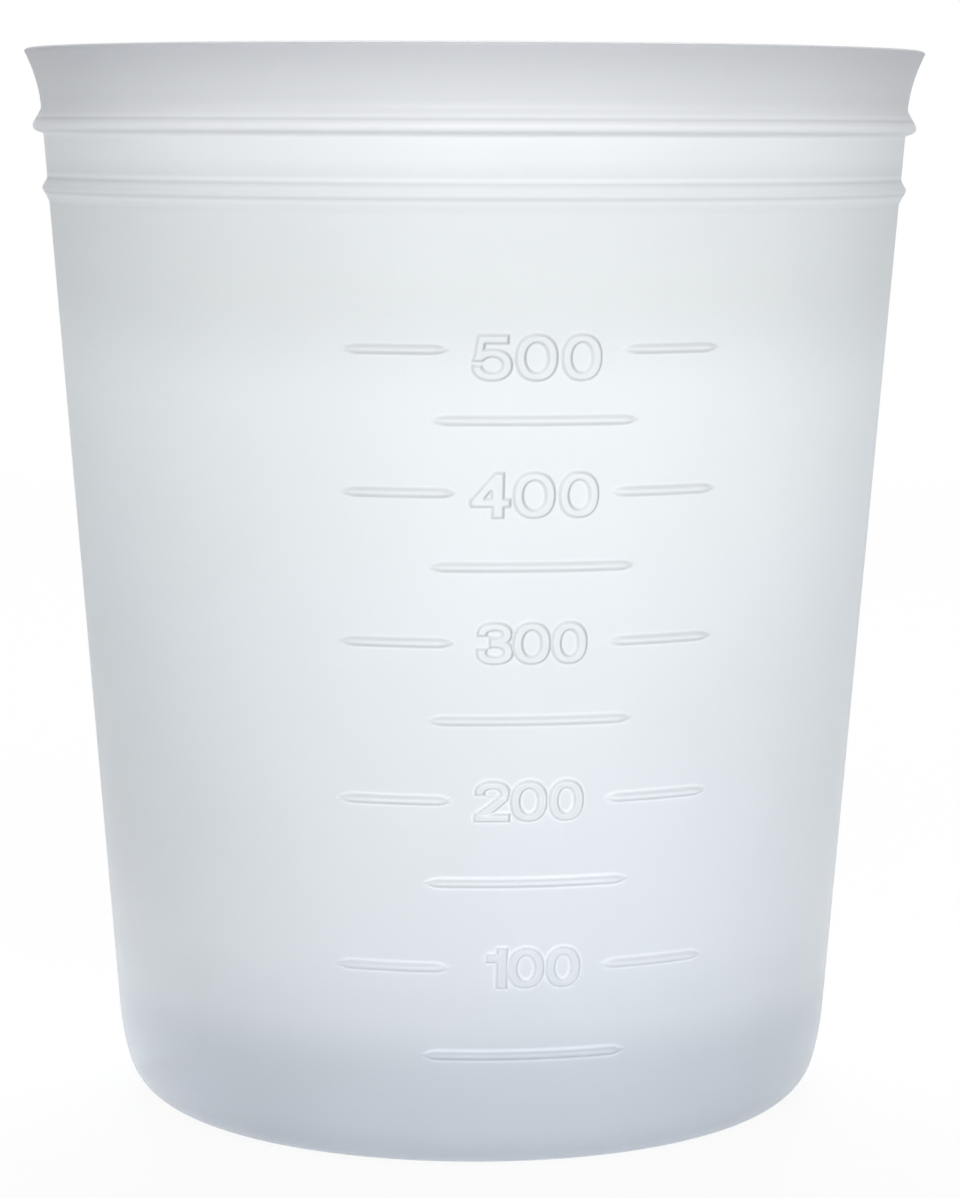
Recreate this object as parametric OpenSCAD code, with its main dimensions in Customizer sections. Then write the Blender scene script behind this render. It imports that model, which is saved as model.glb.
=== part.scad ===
// Graduated mixing cup, moulded in one piece from frosted silicone.
// Upright on its flat base, which is centred on the origin. The scale faces -Y.

/* [Cup] */
// Height from the table to the top of the rim
cup_h = 122.2; // [116:0.2:135]
// Radius that the outer side wall would have at table level
base_r = 40.8; // [36:0.1:46]
// Outward lean of the side wall from upright, in degrees
wall_lean = 4.5; // [3:0.1:6]
// Wall thickness at table level
wall_t_foot = 2.2; // [1.6:0.1:3]
// Wall thickness at rim level
wall_t_rim = 1.1; // [0.8:0.1:2]
// Thickness of the floor
floor_t = 3.1; // [2:0.1:4]

/* [Bottom corner] */
// Radius of the tight outer bend where the base turns up
foot_bend_r = 6.6; // [5:0.1:9]
// Radius of the slow outer bend that runs into the side wall
heel_bend_r = 30; // [20:1:36]
// Slope at which the two bends meet, in degrees from upright
bend_meet = 16; // [12:1:24]

/* [Rim] */
// How far the rim's edge stands out from the line of the wall
flare_out = 1.35; // [0.8:0.05:3]
// Height over which the inside flares
inner_flare_h = 7.5; // [4:0.1:10]
// Width of the flat top of the rim
lip_land = 0.7; // [0.5:0.05:0.9]
// Rounding of the rim's outer edge
lip_r = 0.3; // [0.15:0.05:0.4]

/* [Beads] */
// Distance of the upper bead's nose below the top of the rim
upper_bead_drop = 8.75; // [7:0.05:10]
// How far the upper bead stands out
upper_bead_out = 1.15; // [0.8:0.05:1.4]
// Length of the upper bead's upper slope
upper_bead_rise = 1.95; // [1.2:0.05:2.2]
// Length of the upper bead's lower slope
upper_bead_fall = 0.9; // [0.75:0.05:1.5]
// Radius of the upper bead's nose
upper_bead_nose_r = 0.7; // [0.4:0.05:0.7]
// Distance of the lower bead's nose below the top of the rim
lower_bead_drop = 15.8; // [14:0.1:20]
// How far the lower bead stands out
lower_bead_out = 0.66; // [0.6:0.02:1]
// Length of the lower bead's upper slope
lower_bead_rise = 1.1; // [1:0.1:1.6]
// Length of the lower bead's lower slope
lower_bead_fall = 1.6; // [1:0.1:2.5]
// Radius of the lower bead's nose
lower_bead_nose_r = 0.4; // [0.3:0.05:0.55]

/* [Scale] */
// Volume from one mark to the next, in millilitres
step_ml = 50; // [40:1:50]
// Number of marks; every second one has a numeral
mark_count = 10; // [4:2:10]
// Height of a mark's rib
rib_h = 1.15; // [0.8:0.05:1.6]
// How far a rib stands out of the wall
rib_out = 0.45; // [0.2:0.05:0.5]
// Length over which a rib's end tapers
rib_taper = 1.6; // [0.5:0.1:2.5]
// Length of the single rib of a half step
half_rib_len = 21.9; // [16:0.1:30]
// Distance from the scale's centre line to the ribs beside a numeral
side_rib_in = 8.3; // [8:0.1:10]
// The same distance in the top row
top_rib_in = 9.3; // [8:0.1:11]
// Distance from the centre line to the outer ends of those ribs
side_rib_out = 20; // [15:0.1:24]
// Least clear space between a numeral and the ribs beside it
side_gap = 0.8; // [0.5:0.1:1.5]

/* [Numerals] */
// Height of a digit in the lower rows
digit_h = 4.6; // [4:0.05:5.5]
// Height of a digit in the upper rows
wide_digit_h = 4.95; // [4:0.05:5.5]
// Width of a digit in the lower rows
digit_w = 3.9; // [3.8:0.05:4.4]
// Width of a digit in the upper rows
wide_digit_w = 4.35; // [4.1:0.05:4.8]
// Lowest row that has the wide digits, in hundreds of millilitres
wide_from = 4; // [2:1:5]
// Space between two digits in the lower rows
digit_space = 0.1; // [0.05:0.05:0.5]
// Space between two digits in the upper rows
wide_digit_space = 0.35; // [0.1:0.05:0.8]
// Width of a digit's upright strokes
stem_w = 1.15; // [0.9:0.05:1.3]
// Width of a digit's level strokes
bar_w = 0.98; // [0.8:0.02:1.1]
// How far the top numeral sits below the middle of its ribs
top_digit_drop = 0.8; // [0:0.05:1.5]
// How far the other numerals of the upper rows do
wide_digit_drop = 0.2; // [0:0.05:1]
// How far the numerals stand out of the wall
digit_out = 0.4; // [0.2:0.05:0.6]

/* [Hidden] */

silicone = [0.9, 0.94, 0.96];
arc_steps = 8;
flare_steps = 8;
curve_fn = 48;
// How deep the numerals reach into the wall that carries them
root = 0.4;
mm3_per_ml = 1000;

// Half height of a rib's outline before it tapers, as a share of the rib's height
rib_outline_share = 0.75;
// Share of a digit's height that the bowl of the 2 and of the 5 takes
two_bowl = 0.6;
five_bowl = 0.7;
// Width of the gaps in the 3 and in the 5, and how far they cut in, in bars and in stems
three_mouth = 1.1;
five_mouth = 0.65;
mouth_depth = 1.2;
// Where the bowl of the 2 ends: below the bowl's middle, in bars, and above the foot, in bowls
two_inner_end = 0.25;
two_tip = 0.25;
// How far the neck of the 2 and the roof of the 5 stay inside the digit's edge, in stems
two_neck_in = 0.2;
five_roof_in = 0.25;
five_back_in = 0.33;
five_roof = 1.2;
// The 4: the stem's distance from the edge in stems, the bar's below the middle, the eye's size
four_stem_in = 0.7;
four_bar_drop = 0.28;
four_eye_w = 0.8;
four_eye_h = 1;
// Depth of the flag of the 1 below the top, in bars
one_flag_drop = 0.5;

wall_slope = tan(wall_lean);
wall_thinning = (wall_t_foot - wall_t_rim) / cup_h;
skin_slope = wall_slope + wall_thinning;
skin_base_r = base_r - wall_t_foot;
rim_r = wall_r(cup_h) + flare_out;

// Radius of the outer side wall at a height
function wall_r(z) = base_r + wall_slope * z;

// Points along an arc round a centre, from one angle to another
function arc(centre, r, from, to) =
    [for (i = [0 : arc_steps])
        let (a = from + (to - from) * i / arc_steps)
        centre + r * [cos(a), sin(a)]];

// The two bends from a level bottom at height z0 into a leaning wall
function bends(r0, slope, z0, tight_r, slow_r) =
    let (lean = atan(slope),
         tight_z = z0 + tight_r,
         slow_z = tight_z + (slow_r - tight_r) * sin(bend_meet),
         slow_x = r0 + slope * slow_z - slow_r / cos(lean),
         tight_x = slow_x + (slow_r - tight_r) * cos(bend_meet))
    concat(arc([tight_x, tight_z], tight_r, -90, -bend_meet),
           arc([slow_x, slow_z], slow_r, -bend_meet, -lean));

// A bead: a round nose that runs out into the wall above and below it
function bead(z, out, rise, fall, nose_r) =
    let (nose = [wall_r(z) + out - nose_r, z],
         low = [wall_r(z - fall), z - fall],
         high = [wall_r(z + rise), z + rise])
    concat([low],
           arc(nose, nose_r, -touch_angle(nose, nose_r, low, -1), touch_angle(nose, nose_r, high, 1)),
           [high]);

// Angle at which a line from a point on the wall touches the nose
function touch_angle(nose, nose_r, foot, side) =
    let (dx = foot.x - nose.x, dz = side * (foot.y - nose.y))
    atan2(dz, dx) - acos(nose_r / norm([dx, dz]));

// A flare: the curve from a leaning wall out to a given radius
function flare(r0, slope, z_start, z_end, r_end) =
    let (out = r_end - r0 - slope * z_end)
    [for (i = [0 : flare_steps])
        let (s = i / flare_steps, z = z_start + (z_end - z_start) * s)
        [r0 + slope * z + out * s * s, z]];

function reversed(list) = [for (i = [len(list) - 1 : -1 : 0]) list[i]];

// Volume of revolution under an outline that runs up from the axis
function revolved_volume(pts, i = 1) =
    i >= len(pts) ? 0 :
    let (a = pts[i - 1], b = pts[i])
    PI / 3 * (b.y - a.y) * (a.x * a.x + a.x * b.x + b.x * b.x) + revolved_volume(pts, i + 1);

function cube_root(v) = pow(v, 1 / 3);

inner_bends = bends(skin_base_r, skin_slope, floor_t, foot_bend_r - floor_t, heel_bend_r - wall_t_foot);
bowl_top = inner_bends[len(inner_bends) - 1];
bowl_volume = revolved_volume(concat([[0, floor_t]], inner_bends));

// Height at which the cup holds n steps of liquid
function mark_z(n) =
    (cube_root(pow(bowl_top.x, 3) + 3 * skin_slope / PI * (n * step_ml * mm3_per_ml - bowl_volume))
     - skin_base_r) / skin_slope;

function is_numbered(n) = n % 2 == 0;
function is_wide(n) = n >= 2 * wide_from;
function digit_width(n) = is_wide(n) ? wide_digit_w : digit_w;
function digit_pitch(n) = is_wide(n) ? wide_digit_w + wide_digit_space : digit_w + digit_space;
function digit_height(n) = is_wide(n) ? wide_digit_h : digit_h;
function digit_z(n) =
    mark_z(n) - (n == mark_count ? top_digit_drop : is_wide(n) ? wide_digit_drop : 0);
function side_rib_start(n) =
    max(n == mark_count ? top_rib_in : side_rib_in, digit_pitch(n) + digit_width(n) / 2 + side_gap);

// Rib section: the part of a circle that stands out of the wall
rib_r = (rib_h * rib_h / 4 + rib_out * rib_out) / (2 * rib_out);

module profile() {
    lip = [rim_r - lip_r, cup_h - lip_r];
    polygon(concat(
        [[0, 0]],
        bends(base_r, wall_slope, 0, foot_bend_r, heel_bend_r),
        bead(cup_h - lower_bead_drop, lower_bead_out, lower_bead_rise, lower_bead_fall, lower_bead_nose_r),
        bead(cup_h - upper_bead_drop, upper_bead_out, upper_bead_rise, upper_bead_fall, upper_bead_nose_r),
        flare(base_r, wall_slope, cup_h - upper_bead_drop + upper_bead_rise, lip.y, rim_r),
        arc(lip, lip_r, 0, 90),
        reversed(flare(skin_base_r, skin_slope, cup_h - inner_flare_h, cup_h, rim_r - lip_land)),
        reversed(inner_bends),
        [[0, floor_t]]));
}

// Ring of a rib's section all round the wall
module rib_ring(z) {
    rotate_extrude($fn = curve_fn)
        translate([wall_r(z) + rib_out - rib_r, z])
            circle(r = rib_r, $fn = curve_fn);
}

// Outline of one rib, seen from the front, with pointed ends
module rib_outline(start, end) {
    half = rib_h * rib_outline_share;
    polygon([[start, 0], [start + rib_taper, half], [end - rib_taper, half],
             [end, 0], [end - rib_taper, -half], [start + rib_taper, -half]]);
}

module mark_outline(n) {
    if (is_numbered(n)) {
        for (side = [0, 1]) mirror([side, 0]) rib_outline(side_rib_start(n), side_rib_out);
    } else {
        rib_outline(-half_rib_len / 2, half_rib_len / 2);
    }
}

// Extrudes an outline from the axis to the front, past the wall
module to_front() {
    rotate([90, 0, 0]) linear_extrude(height = rim_r + rib_out) children();
}

module mark(n) {
    intersection() {
        rib_ring(mark_z(n));
        to_front() translate([0, mark_z(n)]) mark_outline(n);
    }
}

// Rectangle between two corners
module block(x0, y0, x1, y1) {
    translate([x0, y0]) square([x1 - x0, y1 - y0]);
}

// Outline with fully rounded ends
module pill(w, h) {
    r = min(w, h) / 2;
    for (s = [-1, 1]) translate([s * (w / 2 - r), s * (h / 2 - r)]) circle(r = r, $fn = curve_fn);
    if (w > h) square([w - h, h], center = true);
    if (h > w) square([w, h - w], center = true);
}

module loop(w, h) {
    difference() {
        pill(w, h);
        pill(w - 2 * stem_w, h - 2 * bar_w);
    }
}

module one(w, h) {
    stem_x = w / 2 - stem_w;
    flag_top = h / 2 - bar_w * one_flag_drop;
    block(stem_x, -h / 2, w / 2, h / 2);
    block(stem_x - stem_w, flag_top - bar_w, w / 2, flag_top);
}

module two(w, h) {
    bowl_h = h * two_bowl;
    bowl_mid = (h - bowl_h) / 2;
    inner_end = bowl_mid - bar_w * two_inner_end;
    tip = bowl_mid - bowl_h * two_tip;
    foot = -h / 2 + bar_w;
    difference() {
        translate([0, bowl_mid]) loop(w, bowl_h);
        block(-w, -h, w / 2 - stem_w, inner_end);
        block(-w, -h, w, tip);
    }
    polygon([[-w / 2, foot], [w / 2 - stem_w, inner_end],
             [w / 2, bowl_mid], [w / 2 - stem_w * two_neck_in, tip], [0, foot]]);
    block(-w / 2, -h / 2, w / 2, foot);
}

module three(w, h) {
    bowl_h = (h + bar_w) / 2;
    mouth = bar_w * three_mouth;
    difference() {
        for (s = [-1, 1]) translate([0, s * (h - bowl_h) / 2]) loop(w, bowl_h);
        block(-w, -mouth / 2, -w / 2 + stem_w * mouth_depth, mouth / 2);
    }
}

module four(w, h) {
    stem_x = w / 2 - stem_w * four_stem_in;
    bar_y = -h * four_bar_drop;
    eye = [stem_x - stem_w, bar_y + bar_w];
    difference() {
        union() {
            block(stem_x - stem_w, -h / 2, stem_x, h / 2);
            block(-w / 2, bar_y, w / 2, bar_y + bar_w);
            polygon([[-w / 2, bar_y], [stem_x, bar_y], [stem_x, h / 2],
                     [stem_x - stem_w, h / 2], [-w / 2, bar_y + bar_w]]);
        }
        polygon([eye, eye - [stem_w * four_eye_w, 0], eye + [0, bar_w * four_eye_h]]);
    }
}

module five(w, h) {
    bowl_h = h * five_bowl;
    bowl_mid = (bowl_h - h) / 2;
    back_top = -w / 2 + stem_w * five_back_in;
    mouth = bar_w * five_mouth;
    difference() {
        union() {
            translate([0, bowl_mid]) loop(w, bowl_h);
            block(back_top, h / 2 - bar_w * five_roof, w / 2 - stem_w * five_roof_in, h / 2);
            polygon([[-w / 2, bowl_mid], [stem_w - w / 2, bowl_mid],
                     [back_top + stem_w, h / 2], [back_top, h / 2]]);
        }
        block(-w, bowl_mid - mouth / 2, -w / 2 + stem_w * mouth_depth, bowl_mid + mouth / 2);
    }
}

module digit(value, w, h) {
    if (value == 0) loop(w, h);
    if (value == 1) one(w, h);
    if (value == 2) two(w, h);
    if (value == 3) three(w, h);
    if (value == 4) four(w, h);
    if (value == 5) five(w, h);
}

// A whole number of hundreds: its first digit and two noughts
module numeral(n) {
    digits = [n / 2, 0, 0];
    for (i = [0 : 2])
        translate([(i - 1) * digit_pitch(n), digit_z(n)])
            digit(digits[i], digit_width(n), digit_height(n));
}

// Skin over the wall that the numerals are cut from
module numeral_skin() {
    low = mark_z(1);
    high = mark_z(mark_count) + wide_digit_h;
    rotate_extrude($fn = curve_fn)
        polygon([[wall_r(low) - root, low], [wall_r(low) + digit_out, low],
                 [wall_r(high) + digit_out, high], [wall_r(high) - root, high]]);
}

module numerals() {
    intersection() {
        numeral_skin();
        to_front() for (n = [2 : 2 : mark_count]) numeral(n);
    }
}

module cup() {
    color(silicone) union() {
        rotate_extrude($fn = curve_fn) profile();
        for (n = [1 : mark_count]) mark(n);
        numerals();
    }
}

cup();
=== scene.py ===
import math

import bpy
import numpy as np
from mathutils import Matrix, Vector


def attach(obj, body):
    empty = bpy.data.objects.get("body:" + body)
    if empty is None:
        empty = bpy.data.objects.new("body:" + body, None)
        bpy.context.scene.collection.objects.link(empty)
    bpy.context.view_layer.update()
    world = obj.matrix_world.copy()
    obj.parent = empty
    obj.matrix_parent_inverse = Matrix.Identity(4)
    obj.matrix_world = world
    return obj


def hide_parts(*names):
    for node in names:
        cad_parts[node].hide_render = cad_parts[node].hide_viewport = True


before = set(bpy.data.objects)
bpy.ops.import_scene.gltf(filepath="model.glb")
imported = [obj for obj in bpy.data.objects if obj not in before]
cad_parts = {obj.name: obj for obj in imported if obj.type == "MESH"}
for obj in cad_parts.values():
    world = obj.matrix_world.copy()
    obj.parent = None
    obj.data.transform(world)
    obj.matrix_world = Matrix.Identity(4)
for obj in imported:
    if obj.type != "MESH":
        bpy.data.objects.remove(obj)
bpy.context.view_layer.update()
MM = 0.001
TINY = 1e-6                       # keeps divisions and comparisons sound

# --- Shape of the cup, in millimetres; the same values as in the CAD source
CUP_H = 122.2
BASE_R = 40.8                     # of the wall's outside, carried down to the floor
WALL_SLOPE = math.tan(math.radians(4.5))
WALL_T_FOOT = 2.2
WALL_T_RIM = 1.1
FLOOR_T = 3.1
FOOT_R = 6.6                      # the bottom corner has a tight bend and a slow one
HEEL_R = 30.0
MEET = math.radians(16)           # lean of the wall where the two bends meet
FLARE_OUT = 1.35
INNER_FLARE_H = 7.5
LIP_W, LIP_H = 0.62, 0.4          # outer rounding of the lip
LIP_INNER = 0.22                  # radius of the inner one
# drop, out, rise, fall and nose radius of each bead
BEADS = ((8.75, 1.15, 1.95, 0.9, 0.7), (15.8, 0.66, 1.1, 1.6, 0.4))
BEAD_FILLET = 0.08
STEP_MM3 = 50000.0                # volume between two marks
MARKS = 10                        # every second one has a numeral
RIB_H, RIB_OUT, RIB_TAPER = 1.15, 0.45, 1.6
RIB_TIP = 0.25                    # height of a rib's tip, as a share of the rib's
RIB_ROUND = 1.2                   # more is a narrower crest
HALF_RIB = 10.95                  # half the length of a half step's rib
SIDE_IN, TOP_IN, SIDE_OUT = 8.3, 9.3, 20.0    # ends of the side ribs, from the centre line
STEM, BAR = 1.12, 0.95            # upright and level strokes of the digits
DIGIT_OUT = 0.4
SHOULDER = 0.34                   # width of the soft shoulder along a digit's outline
SHOULDER_IN = 0.08                # how far its middle lies inside the outline

RIM_R = BASE_R + WALL_SLOPE * CUP_H + FLARE_OUT
SKIN_R = BASE_R - WALL_T_FOOT
SKIN_SLOPE = WALL_SLOPE + (WALL_T_FOOT - WALL_T_RIM) / CUP_H

# --- Steps of the mesh: counts, and lengths in millimetres
CORNER_STEPS = (13, 9)            # points on the tight and on the slow bend, outside
INNER_CORNER_STEPS = (9, 7)       # and inside
VOLUME_STEPS = (40, 40)           # and inside, where the volume is worked out
BEAD_STEPS = 15
LIP_STEPS = 7
FLARE_ROWS = 15
INNER_FLARE_ROWS = 9
INNER_WALL_ROWS = 20
PATCH_LOW, PATCH_HIGH = 11.6, 93.6    # the relief is on a finer patch between these heights
PATCH_ROWS = 18                   # coarse rows of the patch, which run all round
FINE = 0.135                      # step across beads, marks and numerals
MARK_REACH = 1.02                 # how far fine rows go past the middle of a mark
DIGIT_REACH = (0.4, 0.45)         # and below and above a numeral
BEAD_REACH = ((1.5, 2.0), (2.1, 1.6))     # and below and above each bead's nose
BEAD_GAP = 0.3                    # from there to the next row
PLAIN = 1.2                       # step between marks
PLAIN_CLEAR, COARSE_CLEAR = 0.7, 0.05     # least space from plain to fine, and fine to coarse
ABOVE_PATCH = (97, 103.6, 3)      # plain rows above the patch: lowest, highest, count
BETWEEN_BEADS = 3                 # rows
COARSE_STEP = 1.8                 # of the columns, in degrees
PATCH_CELLS = 17                  # coarse cells on each side of the scale's centre line
CENTRE_CELLS = 6                  # of those, the ones that hold the numerals
CENTRE_SPLIT, SIDE_SPLIT = 11, 3


def wall_r(z):
    return BASE_R + WALL_SLOPE * z


def skin_r(z):
    return SKIN_R + SKIN_SLOPE * z


def bends(r0, slope, z0, tight, slow, n_tight, n_slow):
    """The two bends from a level bottom into the leaning wall, as rows of (r, z)."""
    lean = math.atan(slope)
    tight_z = z0 + tight
    slow_z = tight_z + (slow - tight) * math.sin(MEET)
    slow_x = r0 + slope * slow_z - slow / math.cos(lean)
    tight_x = slow_x + (slow - tight) * math.cos(MEET)
    a = np.linspace(-math.pi / 2, -MEET, n_tight)
    b = np.linspace(-MEET, -lean, n_slow)[1:]
    return np.concatenate([np.c_[tight_x + tight * np.cos(a), tight_z + tight * np.sin(a)],
                           np.c_[slow_x + slow * np.cos(b), slow_z + slow * np.sin(b)]])


def inner_bends(n_tight, n_slow):
    return bends(SKIN_R, SKIN_SLOPE, FLOOR_T, FOOT_R - FLOOR_T, HEEL_R - WALL_T_FOOT,
                 n_tight, n_slow)


def bead_points(drop, out, rise, fall, nose):
    """Section of a bead: a round nose with straight flanks down to the wall."""
    z = CUP_H - drop
    centre = np.array([wall_r(z) + out - nose, z])

    def touch(foot, side):
        dx, dz = foot[0] - centre[0], side * (foot[1] - centre[1])
        return math.atan2(dz, dx) - math.acos(nose / math.hypot(dx, dz))

    low, high = (wall_r(z - fall), z - fall), (wall_r(z + rise), z + rise)
    a = np.linspace(-touch(low, -1), touch(high, 1), BEAD_STEPS)
    arc = centre + nose * np.c_[np.cos(a), np.sin(a)]
    return np.concatenate([[low], arc, [high]])


def outer_r(z):
    """Outer radius between the bottom corner and the lip, with soft fillets at the beads."""
    # step of the table of radii, how far it goes past the cup, in millimetres, and past the
    # lip, as a share of the flare, and how many steps a fillet is smoothed over on each side
    step, margin, past_lip, reach = 0.02, 2.0, 1.2, 40
    table_z = np.arange(-margin, CUP_H + margin, step)
    r = wall_r(table_z)
    for bead in BEADS:
        p = bead_points(*bead)
        inside = (table_z > p[0, 1]) & (table_z < p[-1, 1])
        r[inside] = np.interp(table_z[inside], p[:, 1], p[:, 0])
    drop, _, rise, _, _ = BEADS[0]
    start = CUP_H - drop + rise
    s = np.clip((table_z - start) / (CUP_H - LIP_H - start), 0, past_lip)
    r = r + FLARE_OUT * s * s
    kernel = np.exp(-0.5 * (np.arange(-reach, reach + 1) * step / BEAD_FILLET) ** 2)
    padded = np.pad(r, reach, mode="reflect", reflect_type="odd")
    r = np.convolve(padded, kernel / kernel.sum(), mode="valid")
    return np.interp(z, table_z, r)


def mark_heights():
    """Heights at which the cup holds 1, 2, ... steps of liquid."""
    inner = inner_bends(*VOLUME_STEPS)
    r, z = np.concatenate([[[0, FLOOR_T]], inner]).T
    bowl = np.sum(math.pi / 3 * np.diff(z) * (r[:-1] ** 2 + r[:-1] * r[1:] + r[1:] ** 2))
    n = np.arange(1, MARKS + 1)
    top_r = np.cbrt(r[-1] ** 3 + 3 * SKIN_SLOPE / math.pi * (n * STEP_MM3 - bowl))
    return (top_r - SKIN_R) / SKIN_SLOPE


MARK_Z = mark_heights()
# value, width, height, pitch, drop of each numeral below its ribs
NUMERALS = ((1, 3.9, 4.55, 3.98, 0.0), (2, 3.9, 4.55, 3.98, 0.0), (3, 3.95, 4.6, 3.98, 0.0),
            (4, 4.35, 4.95, 4.71, 0.2), (5, 4.35, 4.95, 4.74, 0.8))
# the middle digit stands a little to the left, and is a little wider
MIDDLE_SHIFT, MIDDLE_WIDE = 0.07, 1.04

# --- Outlines of the digits, as signed distances in millimetres, negative inside.
# x and z count from the digit's middle; a and b are half its width and half its height.
FAR = 9                           # well outside of any digit
OUTER_ROUND, INNER_ROUND = 2.3, 2.1       # 2 is an ellipse, more is squarer


def oval(x, z, cx, cz, a, b, p):
    """Close to the outline, which is all that counts; two floors keep the middle sound."""
    u, v = np.abs(x - cx) / a, np.abs(z - cz) / b
    g = np.maximum((u ** p + v ** p) ** (1 / p), 1e-3)
    grad = g ** (1 - p) * np.hypot(u ** (p - 1) / a, v ** (p - 1) / b)
    return (g - 1) / np.maximum(grad, 1e-2)


def ring(x, z, cx, cz, a, b, p=OUTER_ROUND):
    """A stroke that goes all round, as in a 0."""
    return cut(oval(x, z, cx, cz, a, b, p), oval(x, z, cx, cz, a - STEM, b - BAR, INNER_ROUND))


def block(x, z, x0, z0, x1, z1):
    """Rectangle between two corners."""
    dx = np.abs(x - (x0 + x1) / 2) - (x1 - x0) / 2
    dz = np.abs(z - (z0 + z1) / 2) - (z1 - z0) / 2
    return np.hypot(np.maximum(dx, 0), np.maximum(dz, 0)) + np.minimum(np.maximum(dx, dz), 0)


def poly(x, z, pts):
    d = np.full(x.shape, 1e9)
    sign = np.ones(x.shape)
    for i, (ax, az) in enumerate(pts):
        bx, bz = pts[i - 1]
        ex, ez, wx, wz = bx - ax, bz - az, x - ax, z - az
        t = np.clip((wx * ex + wz * ez) / (ex * ex + ez * ez), 0, 1)
        d = np.minimum(d, (wx - ex * t) ** 2 + (wz - ez * t) ** 2)
        c1, c2, c3 = z >= az, z < bz, ex * wz > ez * wx
        flip = (c1 & c2 & c3) | (~c1 & ~c2 & ~c3)
        sign = np.where(flip, -sign, sign)
    return sign * np.sqrt(d)


# join puts shapes together, and cut takes holes out of one
def join(*shapes):
    return np.minimum.reduce(shapes)


def cut(shape, *holes):
    return np.maximum.reduce([shape] + [-hole for hole in holes])


def zero(x, z, a, b):
    return ring(x, z, 0, 0, a, b)


def one(x, z, a, b):
    stem_w, flag_start, flag_end, flag_low, flag_high = 1.28, 2.35, 0.5, 1.66, 0.64
    stem = block(x, z, a - stem_w, -b, a, b)
    flag = block(x, z, a - flag_start, b - flag_low, a - flag_end, b - flag_high)
    return join(stem, flag)


def two(x, z, a, b):
    bowl_b, hook_low, bowl_low, foot_h = 1.36, 1.62, 1.75, 0.98
    bowl = ring(x, z, 0, b - bowl_b, a - 0.05, bowl_b)
    left = block(x, z, -FAR, -FAR, 0.15 - 0.75 * STEM, b - hook_low)
    below = block(x, z, -FAR, -FAR, FAR, b - bowl_low)
    neck = poly(x, z, ((-a + 0.02, -b + 0.85), (a - STEM - 0.05, b - 1.6), (a - 0.07, b - 1.5),
                       (a - 0.3, b - 2.25), (0.05, -b + 0.93), (-a + 0.02, -b + 0.5)))
    foot = block(x, z, -a, -b, a - 0.02, -b + foot_h)
    return join(cut(bowl, left, below), neck, foot)


def three(x, z, a, b):
    upper_b, lower_b, mouth_low, mouth_high, mouth_end = 1.27, 1.4, 1.78, 1.52, -0.62
    upper = ring(x, z, -0.04, b - upper_b, a - 0.1, upper_b)
    lower = ring(x, z, 0, -b + lower_b, a, lower_b)
    mouth = block(x, z, -FAR, -b + mouth_low, mouth_end, b - mouth_high)
    return cut(join(upper, lower), mouth)


def four(x, z, a, b):
    w, h = 2 * a, 2 * b
    stem_w, stem_right, bar_low = 1.3, 0.34 * w, -0.26 * h
    body_low = -0.22 * h
    body = poly(x, z, ((-a, body_low), (-a, -0.13 * h), (0.1 * w, b - 0.02),
                       (stem_right, b - 0.02), (stem_right, body_low)))
    eye = poly(x, z, ((0.05, 0.42), (0.05, -0.3), (-0.5, -0.3)))
    stem = block(x, z, stem_right - stem_w, -b, stem_right, b - 0.4)
    bar = block(x, z, -a + 0.1, bar_low, a, -0.065 * h)
    return join(cut(body, eye), stem, cut(bar, eye))


def five(x, z, a, b):
    bowl_b, bowl_round, mouth_low, mouth_high = 1.72, 2.2, 1.7, 2.08
    roof_top, roof_h = 0.05, 1.0
    mouth_end = -a + STEM + 0.1
    bowl = ring(x, z, 0, -b + bowl_b, a - 0.02, bowl_b, bowl_round)
    mouth = block(x, z, -FAR, -b + mouth_low, mouth_end, -b + mouth_high)
    back = poly(x, z, ((-a + 0.18, -b + 2.05), (-a + 0.62, b - roof_top),
                       (-a + 1.6, b - roof_top), (mouth_end, -b + 2.05)))
    roof = block(x, z, -a + 0.62, b - roof_top - roof_h, a - 0.42, b - roof_top)
    return join(cut(bowl, mouth), back, roof)


DIGITS = (zero, one, two, three, four, five)


# --- Relief of the scale: how far the wall stands out, by x and height
def shoulder(d, out):
    t = np.clip(0.5 - (d + SHOULDER_IN) / SHOULDER, 0, 1)
    return out * t * t * (3 - 2 * t)


def rib_height(x, z, z0, x0, x1):
    """A rounded rib whose two ends run out to a point."""
    end = np.clip(np.minimum(x - x0, x1 - x) / RIB_TAPER, 0, 1)
    end = np.sin(end * math.pi / 2)
    half = RIB_H / 2 * (RIB_TIP + (1 - RIB_TIP) * end)
    t = np.clip(np.abs(z - z0) / half, 0, 1)
    return RIB_OUT * end * (1 - t * t) ** RIB_ROUND


def relief(x, z):
    """How far ribs and numerals stand out, at x from the scale's centre line."""
    h = np.zeros(x.shape)
    for n in range(MARKS):
        if n % 2 == 0:
            spans = ((-HALF_RIB, HALF_RIB),)
        else:
            inner = TOP_IN if n == MARKS - 1 else SIDE_IN
            spans = ((-SIDE_OUT, -inner), (inner, SIDE_OUT))
        for x0, x1 in spans:
            h = np.maximum(h, rib_height(x, z, MARK_Z[n], x0, x1))
    for value, width, height, pitch, drop in NUMERALS:
        zc = MARK_Z[2 * value - 1] - drop
        near = np.abs(z - zc) < height
        for place, v in ((-1, value), (0, 0), (1, 0)):
            shift, wide = (MIDDLE_SHIFT, MIDDLE_WIDE) if place == 0 else (0, 1)
            xc = place * pitch - shift
            d = DIGITS[v](x[near] - xc, z[near] - zc, width * wide / 2, height / 2)
            h[near] = np.maximum(h[near], shoulder(d, DIGIT_OUT))
    return h


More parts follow.
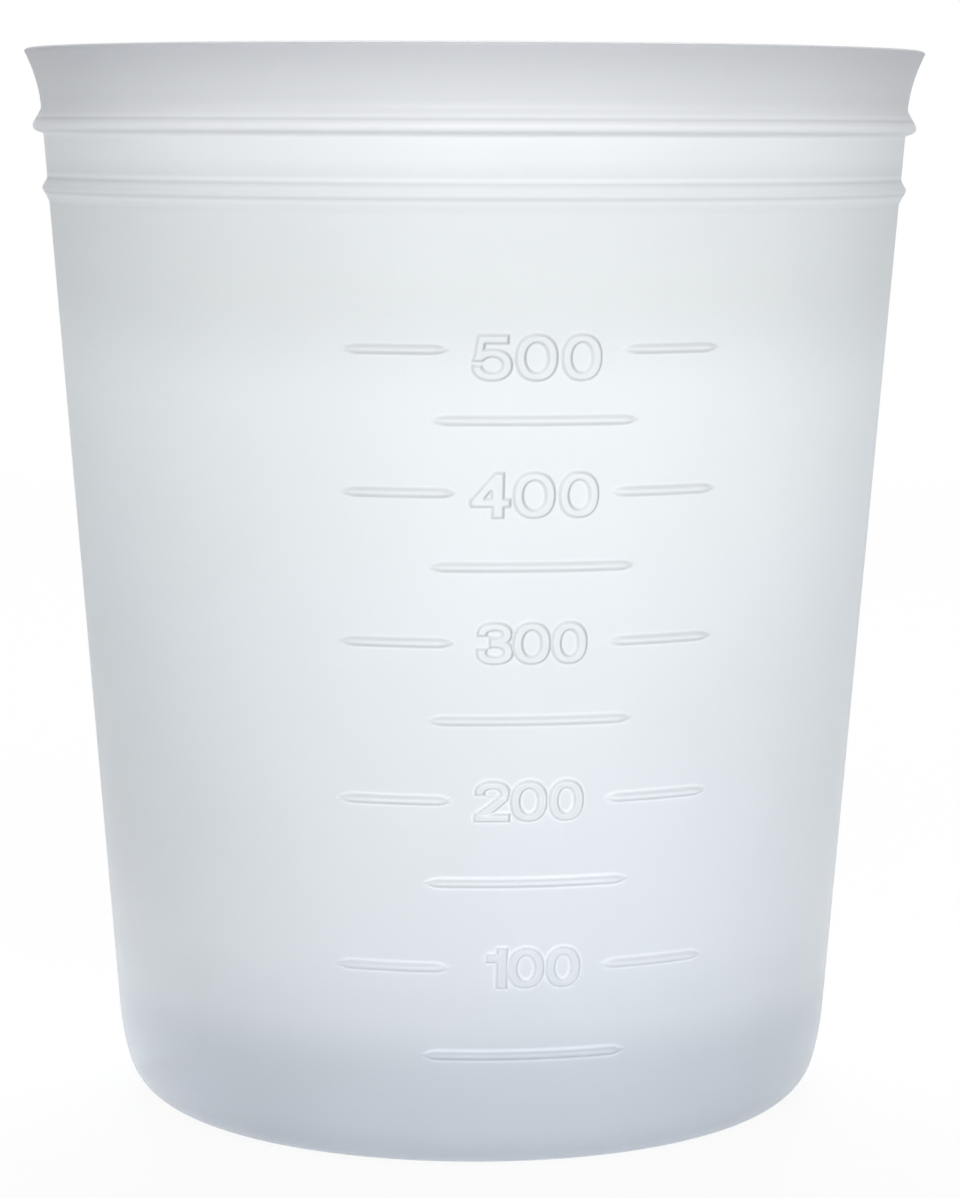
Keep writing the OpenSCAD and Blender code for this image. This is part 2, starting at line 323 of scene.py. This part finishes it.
# --- Painted shade on the steep edges of the relief, standing in for the shading of their slopes
# and for less light coming through them, strongest where they face right and down; painted
# glints (highlights) along their feet and crests. The rows of strengths go from the lowest mark
# to the highest.
PAINTED_EDGE_SHADE = 0.38
ROW_PAINTED_SHADE = (0.75, 0.5, 0.85, 0.85, 0.95, 1, 1, 1, 1, 1)
FOOT_PAINTED_GLINT = (0.28, 0.17, 0.26, 0.18, 0.12, 0.08, 0.06, 0.05, 0.05, 0.05)
CREST_PAINTED_GLINT = (0.05, 0.05, 0.1, 0.11, 0.06, 0.05, 0.05, 0.03, 0.04, 0.03)
SLOPE_REACH, HOLLOW_REACH = 0.09, 0.22    # distances over which slope and hollow are taken
STEEP_DARK = 1.3                  # slope at which an edge is at its darkest
STEEP_CREST = 0.9                 # slope at which a crest has no glint left
FOOT_HOLLOW, CREST_HOLLOW = 0.13, 0.15    # hollows at which the glints are at their full
# share of the painted shade that any edge gets, and what facing right, sideways or up adds to it
TURNED_ALL, TURNED_RIGHT, TURNED_SIDE, TURNED_UP = 0.465, 0.465, 0.22, -0.135


def relief_painted_shade_and_glint(x, z):
    """Painted shade on steep edges, with painted glints along their feet and crests."""
    e = SLOPE_REACH
    gx = (relief(x + e, z) - relief(x - e, z)) / (2 * e)
    gz = (relief(x, z + e) - relief(x, z - e)) / (2 * e)
    steep = np.hypot(gx, gz)
    to_right, up = -gx / np.maximum(steep, TINY), -gz / np.maximum(steep, TINY)
    turned = TURNED_ALL + TURNED_SIDE * to_right ** 2 + TURNED_RIGHT * to_right + TURNED_UP * up
    e = HOLLOW_REACH
    around = relief(x + e, z) + relief(x - e, z) + relief(x, z + e) + relief(x, z - e)
    hollow = around - 4 * relief(x, z)

    def by_row(strengths):
        return np.interp(z, MARK_Z, strengths)

    painted_shade = PAINTED_EDGE_SHADE * by_row(ROW_PAINTED_SHADE) * np.clip(steep / STEEP_DARK, 0, 1) * turned
    foot = by_row(FOOT_PAINTED_GLINT) * np.clip(hollow / FOOT_HOLLOW, 0, 1)
    crest = by_row(CREST_PAINTED_GLINT) * np.clip(-hollow / CREST_HOLLOW, 0, 1)
    return 1 - painted_shade + foot + crest * np.clip(1 - steep / STEEP_CREST, 0, 1)


# height above the bead's nose, strength and half width of the painted lines along each bead:
# painted highlights where the strength is above 0, painted shade where it is below
BEAD_PAINTED_LINES = (((1.1, 0.05, 0.2), (0.75, -0.13, 0.16), (0.1, 0.05, 0.3), (-0.6, -0.12, 0.2),
               (-1.1, 0.04, 0.25)),
              ((1.9, -0.05, 0.16), (1.5, 0.05, 0.16), (1.1, -0.14, 0.16), (0.45, 0.05, 0.3),
               (-0.45, -0.13, 0.18), (-0.9, 0.04, 0.2), (-1.8, -0.03, 0.25)))
BAND_LOW, BAND_HIGH = 96.0, 117.2         # heights between which the lines are drawn


# painted highlights and painted shade, in lines along the beads
def bead_painted_shading(z):
    painted_shade_glint_tone = np.ones(z.shape)
    for bead, lines in zip(BEADS, BEAD_PAINTED_LINES):
        nose = CUP_H - bead[0]
        for above, strength, half in lines:
            painted_shade_glint_tone += strength * np.exp(-((z - nose - above) / half) ** 2)
    return painted_shade_glint_tone


# --- Mesh of the cup: a grid of columns round the axis and rows along the section
def patch_heights():
    """Heights of the patch's rows, each with whether the row is coarse, and so runs all round."""
    between = np.linspace(PATCH_LOW, PATCH_HIGH, PATCH_ROWS)[1:-1]
    coarse = [PATCH_LOW, PATCH_HIGH] + [round(float(z), 3) for z in between]
    fine = []
    for n in range(MARKS):
        low, high = MARK_Z[n] - MARK_REACH, MARK_Z[n] + MARK_REACH
        if n % 2:
            _, _, height, _, drop = NUMERALS[n // 2]
            below, above = DIGIT_REACH
            low = min(low, MARK_Z[n] - drop - height / 2 - below)
            high = max(high, MARK_Z[n] - drop + height / 2 + above)
        fine += list(np.arange(low, high, FINE))
    plain = np.arange(PATCH_LOW, PATCH_HIGH, PLAIN)
    fine = sorted(fine + [z for z in plain if min(abs(z - f) for f in fine) > PLAIN_CLEAR])
    clear = [z for z in fine if min(abs(z - c) for c in coarse) > COARSE_CLEAR]
    return sorted([(z, True) for z in coarse] + [(z, False) for z in clear])


def band_heights():
    """Heights of the rows from the patch over both beads to the lip."""
    upper, lower = ((CUP_H - bead[0] - below, CUP_H - bead[0] + above)
                    for bead, (below, above) in zip(BEADS, BEAD_REACH))
    return np.concatenate([
        np.linspace(*ABOVE_PATCH),
        np.arange(*lower, FINE),
        np.linspace(lower[1] + BEAD_GAP, upper[0] - BEAD_GAP, BETWEEN_BEADS),
        np.arange(*upper, FINE),
        np.linspace(upper[1] + BEAD_GAP, CUP_H - LIP_H, FLARE_ROWS)])


def profile_rows():
    """Rows of (r, z, coarse, patch) from the underside over the rim to the inner floor."""
    rows = []

    def add(points):
        rows.extend((float(r), float(z), True, False) for r, z in points)

    corner = bends(BASE_R, WALL_SLOPE, 0, FOOT_R, HEEL_R, *CORNER_STEPS)
    add([(corner[0, 0] / 2, 0)])
    add(corner)
    rows.extend((float(wall_r(z)), z, coarse, True) for z, coarse in patch_heights())
    z = band_heights()
    add(np.c_[outer_r(z), z])
    # the lip: outer rounding, then the inner one
    a = np.linspace(0, math.pi / 2, LIP_STEPS)[1:]
    add(np.c_[RIM_R - LIP_W + LIP_W * np.cos(a), CUP_H - LIP_H + LIP_H * np.sin(a)])
    inner_lip = RIM_R - LIP_W - LIP_INNER
    top = CUP_H - LIP_INNER
    inner_arc = np.c_[inner_lip + LIP_INNER * np.cos(a), top + LIP_INNER * np.sin(a)]
    add(inner_arc[::-1][1:])
    # the inside: flare, wall and bowl
    s = np.linspace(1, 0, INNER_FLARE_ROWS)[1:]
    z = top - INNER_FLARE_H + INNER_FLARE_H * s
    out = inner_lip - SKIN_R - SKIN_SLOPE * top
    add(np.c_[skin_r(z) + out * s * s, z])
    bowl = inner_bends(*INNER_CORNER_STEPS)[::-1]
    z = np.linspace(z[-1], bowl[0, 1], INNER_WALL_ROWS)[1:-1]
    add(np.c_[skin_r(z), z])
    add(bowl)
    add([(bowl[-1, 0] / 2, FLOOR_T)])
    return rows


def columns():
    """Angles from the scale's centre line, whether each is coarse, and the patch's last one."""
    angles, coarse = [], []
    for i in range(round(360 / COARSE_STEP)):
        k = i - PATCH_CELLS
        split = 1
        if k < PATCH_CELLS:
            split = CENTRE_SPLIT if -CENTRE_CELLS <= k < CENTRE_CELLS else SIDE_SPLIT
        for j in range(split):
            angles.append(math.radians(COARSE_STEP * (k + j / split)))
            coarse.append(j == 0)
    patch_end = math.radians(COARSE_STEP * PATCH_CELLS) - TINY
    last = next(i for i, a in enumerate(angles) if a > patch_end)
    return np.array(angles), coarse, last


def build_cup():
    rows = profile_rows()
    angles, coarse_col, last_col = columns()
    n_cols = len(angles)
    patch_rows = [i for i, row in enumerate(rows) if row[3]]
    low_row, high_row = patch_rows[0], patch_rows[-1]

    def exists(c, r):
        """Outside of the patch, a point is only where a coarse column meets a coarse row."""
        c %= n_cols
        return (coarse_col[c] and rows[r][2]) or (c <= last_col and low_row <= r <= high_row)

    # points, with the relief inside the patch only, so that its border fits the coarse grid
    index, points = {}, []
    for r, (radius, z, _, _) in enumerate(rows):
        for c in range(n_cols):
            if exists(c, r):
                index[c, r] = len(points)
                raised = low_row < r < high_row and 0 < c < last_col
                points.append((radius, angles[c], z, raised))
    radius, angle, z, raised = np.array(points, float).T
    raised = raised > 0.5
    x = radius * np.sin(angle)
    out = np.zeros(len(points))
    out[raised] = relief(x[raised], z[raised])
    # painted shade and painted glints of the relief and the beads, one value for each point
    painted_shade_glint_tone = np.ones(len(points) + 2)
    painted_shade_glint_tone[:-2][raised] = relief_painted_shade_and_glint(x[raised], z[raised])
    outside = radius > (wall_r(z) + skin_r(z)) / 2
    bead_line_band = (z > BAND_LOW) & (z < BAND_HIGH) & outside
    painted_shade_glint_tone[:-2][bead_line_band] = bead_painted_shading(z[bead_line_band])
    lean = math.atan(WALL_SLOPE)
    radius = radius + out * math.cos(lean)
    z = z - out * math.sin(lean)
    co = np.c_[radius * np.sin(angle), -radius * np.cos(angle), z] * MM

    # coarse faces round the patch take in the fine points along its border
    faces = []
    coarse_cols = [c for c in range(n_cols) if coarse_col[c]] + [n_cols]
    coarse_rows = [r for r in range(len(rows)) if rows[r][2]]
    for r0, r1 in zip(coarse_rows[:-1], coarse_rows[1:]):
        for c0, c1 in zip(coarse_cols[:-1], coarse_cols[1:]):
            if low_row <= r0 and r1 <= high_row and c1 <= last_col:
                continue
            loop = [(c, r0) for c in range(c0, c1)] + [(c1, r) for r in range(r0, r1)]
            loop += [(c, r1) for c in range(c1, c0, -1)] + [(c0, r) for r in range(r1, r0, -1)]
            faces.append([index[c % n_cols, r] for c, r in loop if exists(c, r)])
    for r in range(low_row, high_row):
        for c in range(last_col):
            faces.append([index[c, r], index[c + 1, r], index[c + 1, r + 1], index[c, r + 1]])

    # a fan of triangles closes the underside and the floor
    under, floor = len(co), len(co) + 1
    co = np.concatenate([co, [[0, 0, 0], [0, 0, FLOOR_T * MM]]])
    first = [index[c, 0] for c in coarse_cols[:-1]]
    last = [index[c, len(rows) - 1] for c in coarse_cols[:-1]]
    for i in range(len(first)):
        j = (i + 1) % len(first)
        faces.append([under, first[j], first[i]])
        faces.append([floor, last[i], last[j]])
    mesh = bpy.data.meshes.new("cup_silicone")
    mesh.from_pydata([tuple(v) for v in co], [], faces)
    mesh.attributes.new("painted_shade_glint_tone", "FLOAT", "POINT").data.foreach_set("value", painted_shade_glint_tone)
    mesh.shade_smooth()
    obj = bpy.data.objects.new("cup_silicone", mesh)
    bpy.context.scene.collection.objects.link(obj)
    return obj


# --- Materials
# Tint of the silicone at heights in millimetres, partly its own colour and partly painted shade:
# greyer towards the rim and darker and bluer towards the foot, where less light reaches
TINT_AND_SHADE_BY_HEIGHT = ((1, (0.76, 0.795, 0.833)), (11, (0.752, 0.785, 0.818)),
             (18, (0.845, 0.869, 0.891)), (25, (0.873, 0.895, 0.914)),
             (50, (0.872, 0.896, 0.911)), (84, (0.893, 0.914, 0.924)),
             (97, (0.824, 0.844, 0.849)), (104, (0.81, 0.83, 0.84)),
             (110, (0.835, 0.845, 0.855)), (114, (0.825, 0.835, 0.845)),
             (116.5, (0.71, 0.72, 0.735)), (122, (0.62, 0.63, 0.65)))
FAINT_BLUE = (0.982, 0.988, 1.0, 1)
THROUGH = 0.4                     # share of the light that comes through the mass
POLISH_LOW, POLISH_HIGH = 15, 80  # heights between which the polish of the foot fades


def node(tree, kind, inputs, **settings):
    """A new shader node. An input is named or numbered, and takes a value or another's output."""
    new = tree.nodes.new("ShaderNode" + kind)
    for name, value in settings.items():
        setattr(new, name, value)
    for key, value in inputs.items():
        if isinstance(value, bpy.types.NodeSocket):
            tree.links.new(value, new.inputs[key])
        else:
            new.inputs[key].default_value = value
    return new


def new_material(name):
    mat = bpy.data.materials.new(name)
    mat.use_nodes = True
    mat.node_tree.nodes.clear()
    return mat, mat.node_tree


def tint_and_painted_shade(tree, height):
    tint_and_shade = node(tree, "ValToRGB", {"Fac": height})
    tint_and_shade.color_ramp.interpolation = "EASE"
    stops = tint_and_shade.color_ramp.elements
    for z, colour in TINT_AND_SHADE_BY_HEIGHT:
        stops.new(z / CUP_H).color = (*colour, 1)
    # the two stops that every new ramp has
    stops.remove(stops[0])
    stops.remove(stops[-1])
    return tint_and_shade.outputs["Color"]


def silicone():
    mat, tree = new_material("frosted_silicone")
    coord = node(tree, "TexCoord", {}).outputs["Object"]
    split = node(tree, "SeparateXYZ", {0: coord})
    height = node(tree, "MapRange", {"Value": split.outputs["Z"], "From Max": CUP_H * MM})
    height = height.outputs["Result"]
    # the mass is milky in the wall, greyer in the thin rim and bluer in the thick foot, partly as
    # tint and partly as painted shade; and a faint blue cast comes and goes over the wall
    blue = node(tree, "TexNoise", {"Vector": coord, "Scale": 11, "Detail": 1, "Roughness": 0.4})
    blue_share = node(tree, "MapRange", {"Value": blue.outputs["Fac"],
                                         "From Min": 0.42, "From Max": 0.68})
    tint_shade_and_blue = node(tree, "Mix", {0: blue_share.outputs["Result"], 6: tint_and_painted_shade(tree, height),
                              7: FAINT_BLUE}, data_type="RGBA", blend_type="MULTIPLY")
    # cloudiness, in broad soft patches
    cloud = node(tree, "TexNoise", {"Vector": coord, "Scale": 16, "Detail": 3, "Roughness": 0.5})
    cloud_tone = node(tree, "MapRange", {"Value": cloud.outputs["Fac"],
                                         "From Min": 0.3, "From Max": 0.7,
                                         "To Min": 0.97, "To Max": 1.015})
    # the painted shade and painted glints of the relief and the beads, over the cloudy tone
    painted_shade_glint = node(tree, "Attribute", {}, attribute_name="painted_shade_glint_tone")
    painted_shade_glint_tone = node(tree, "Math", {0: cloud_tone.outputs["Result"], 1: painted_shade_glint.outputs["Fac"]},
                operation="MULTIPLY")
    colour = node(tree, "VectorMath", {0: tint_shade_and_blue.outputs[2], "Scale": painted_shade_glint_tone.outputs[0]},
                  operation="SCALE").outputs[0]
    # fine matt grain of the mould
    grain = node(tree, "TexNoise", {"Vector": coord, "Scale": 2200, "Detail": 2})
    bump = node(tree, "Bump", {"Height": grain.outputs["Fac"], "Strength": 0.12,
                               "Distance": 0.0001}).outputs["Normal"]
    rough = node(tree, "MapRange", {"Value": cloud.outputs["Fac"], "To Min": 0.36, "To Max": 0.5})
    # the foot is polished in the mould, the wall above it is matt
    polish = node(tree, "MapRange", {"Value": height, "From Min": POLISH_LOW / CUP_H,
                                     "From Max": POLISH_HIGH / CUP_H,
                                     "To Min": 0.8, "To Max": 0.12},
                  interpolation_type="SMOOTHSTEP")
    surface = node(tree, "BsdfPrincipled", {"Base Color": colour, "Normal": bump,
                                            "Roughness": rough.outputs["Result"], "IOR": 1.41,
                                            "Coat Weight": polish.outputs["Result"],
                                            "Coat Roughness": 0.16})
    thin = node(tree, "BsdfTranslucent", {"Color": colour, "Normal": bump})
    both = node(tree, "MixShader", {0: THROUGH, 1: surface.outputs[0], 2: thin.outputs[0]})
    node(tree, "OutputMaterial", {0: both.outputs[0]})
    return mat


def seen(tree):
    """1 for what the camera sees, straight on, mirrored or through something clear."""
    path = node(tree, "LightPath", {})
    share = path.outputs["Is Camera Ray"]
    for ray in ("Is Glossy Ray", "Is Transmission Ray"):
        either = node(tree, "Math", {0: share, 1: path.outputs[ray]}, operation="MAXIMUM")
        share = either.outputs[0]
    return share


def white_stage(name, colour, lift):
    """A pale surface that the camera sees lifted towards white, and that keeps shadows."""
    mat, tree = new_material(name)
    # the lift grows to a full white with the distance from the cup, in metres
    coord = node(tree, "TexCoord", {})
    away = node(tree, "VectorMath", {0: coord.outputs["Object"]}, operation="LENGTH")
    fade = node(tree, "MapRange", {"Value": away.outputs["Value"], "From Min": 0.15,
                                   "From Max": 0.9, "To Min": lift})
    share = node(tree, "Math", {0: seen(tree), 1: fade.outputs["Result"]}, operation="MULTIPLY")
    diffuse = node(tree, "BsdfDiffuse", {"Color": (*colour, 1)})
    glow = node(tree, "Emission", {"Strength": 1.0})
    mix = node(tree, "MixShader", {0: share.outputs[0], 1: diffuse.outputs[0],
                                   2: glow.outputs[0]})
    node(tree, "OutputMaterial", {0: mix.outputs[0]})
    return mat


# --- Objects
cup = build_cup()
cup.data.materials.append(silicone())
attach(cup, "root")
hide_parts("cup")

FLOOR_HALF = 3                    # in metres
floor_mesh = bpy.data.meshes.new("floor")
floor_mesh.from_pydata([(x * FLOOR_HALF, y * FLOOR_HALF, 0)
                        for x, y in ((-1, -1), (1, -1), (1, 1), (-1, 1))], [], [(0, 1, 2, 3)])
floor = bpy.data.objects.new("floor", floor_mesh)
floor.location.z = -0.0002        # just clear of the cup's underside
bpy.context.scene.collection.objects.link(floor)
floor_mesh.materials.append(white_stage("floor_white", (0.85, 0.86, 0.87), lift=0.92))

# --- Camera: as the photograph's, turned so that the scale is at -Y
SCALE_AZIMUTH = 8.0               # degrees from the camera's side of the cup to the scale
PHOTO_H_PX, FOCAL_PX = 1198, 3853.87
CAMERA_AWAY, CAMERA_H = 450.0, 113.31     # from the cup's axis and above the floor, in mm
PITCH, ROLL, YAW = 0.1216, 0.0040, 0.0019
SENSOR_MM = 36


def photo_camera():
    # without pitch and roll
    right0 = Vector((math.cos(YAW), -math.sin(YAW), 0))
    ahead0 = Vector((math.sin(YAW), math.cos(YAW), 0))
    up0 = Vector((0, 0, 1))
    ahead = ahead0 * math.cos(PITCH) - up0 * math.sin(PITCH)
    up = ahead0 * math.sin(PITCH) + up0 * math.cos(PITCH)
    right = right0 * math.cos(ROLL) + up * math.sin(ROLL)
    up = up * math.cos(ROLL) - right0 * math.sin(ROLL)
    place = Matrix((right, up, -ahead)).transposed().to_4x4()
    place.translation = Vector((0, -CAMERA_AWAY, CAMERA_H)) * MM
    cam = bpy.data.cameras.new("camera")
    cam.lens = FOCAL_PX * SENSOR_MM / PHOTO_H_PX
    cam.sensor_width = SENSOR_MM
    cam.clip_start, cam.clip_end = 0.01, 20
    obj = bpy.data.objects.new("camera", cam)
    obj.matrix_world = Matrix.Rotation(math.radians(-SCALE_AZIMUTH), 4, "Z") @ place
    bpy.context.scene.collection.objects.link(obj)
    bpy.context.scene.camera = obj


photo_camera()

# --- Light; distances and sizes in metres, angles in degrees
LAMP_AWAY = 0.9
SOFT_BOX = (0.6, 0.6)
WHITE, COOL = (1, 1, 1), (0.93, 0.95, 1.0)
MIDDLE = (0, 0, 0.06)             # halfway up the cup


def hang(name, light, aim, way):
    """Adds a lamp that looks at its aim from the other end of the way."""
    lamp = bpy.data.objects.new(name, light)
    lamp.location = way + aim
    lamp.rotation_euler = (-way).to_track_quat("-Z", "Y").to_euler()
    bpy.context.scene.collection.objects.link(lamp)


def area(name, azimuth, elevation, power, away=LAMP_AWAY, size=SOFT_BOX, colour=WHITE,
         aim=MIDDLE, spread=180):
    """A soft box. Azimuth 0 is the camera's side of the cup, and 90 is to its right."""
    a, e = math.radians(azimuth - SCALE_AZIMUTH), math.radians(elevation)
    way = Vector((math.sin(a) * math.cos(e), -math.cos(a) * math.cos(e), math.sin(e))) * away
    light = bpy.data.lights.new(name, "AREA")
    light.shape = "RECTANGLE"
    light.size, light.size_y = size
    light.energy = power
    light.color = colour
    light.spread = math.radians(spread)
    hang(name, light, Vector(aim), way)


area("key_left", azimuth=-12, elevation=22, power=3.1)
area("key_right", azimuth=26, elevation=22, power=3.25)
area("back", azimuth=180, elevation=62, power=8.5)

# three soft spots side by side bring out the band of the beads
RIM_TURN = math.radians(-10)
RIM_TILT = 0.1                    # rise of their way, over its length along the floor
RIM_AIM = 0.132                   # above the rim: only a beam's lower half lights the band
RIM_POWER, RIM_SIZE, RIM_SPREAD = 3.0, 0.012, 5.8
rim_way = Vector((math.sin(RIM_TURN), -math.cos(RIM_TURN), RIM_TILT)) * LAMP_AWAY
for name, shift in (("rim_left", -0.036), ("rim_middle", -0.006), ("rim_right", 0.024)):
    spot = bpy.data.lights.new(name, "SPOT")
    spot.energy, spot.shadow_soft_size = RIM_POWER, RIM_SIZE
    spot.spot_size, spot.spot_blend = math.radians(RIM_SPREAD), 1.0
    aim = Vector((math.cos(RIM_TURN) * shift, math.sin(RIM_TURN) * shift, RIM_AIM))
    hang(name, spot, aim, rim_way)

# two weak low lamps behind the cup make the edges of its foot glow
for name, azimuth, power in (("glow_left", -120, 0.013), ("glow_right", 142, 0.008)):
    area(name, azimuth, 2, power, away=0.4, size=(0.08, 0.03), colour=COOL,
         aim=(0, 0, -0.006), spread=9)

# the room: white where the camera sees it, and dim as a light
world = bpy.data.worlds.new("studio")
bpy.context.scene.world = world
world.use_nodes = True
world.node_tree.nodes.clear()
room = node(world.node_tree, "MapRange", {"Value": seen(world.node_tree),
                                          "To Min": 0.05, "To Max": 1.0})
background = node(world.node_tree, "Background", {"Color": (1, 1, 1, 1),
                                                  "Strength": room.outputs["Result"]})
node(world.node_tree, "OutputWorld", {0: background.outputs[0]})

bpy.context.scene.view_settings.view_transform = "Standard"
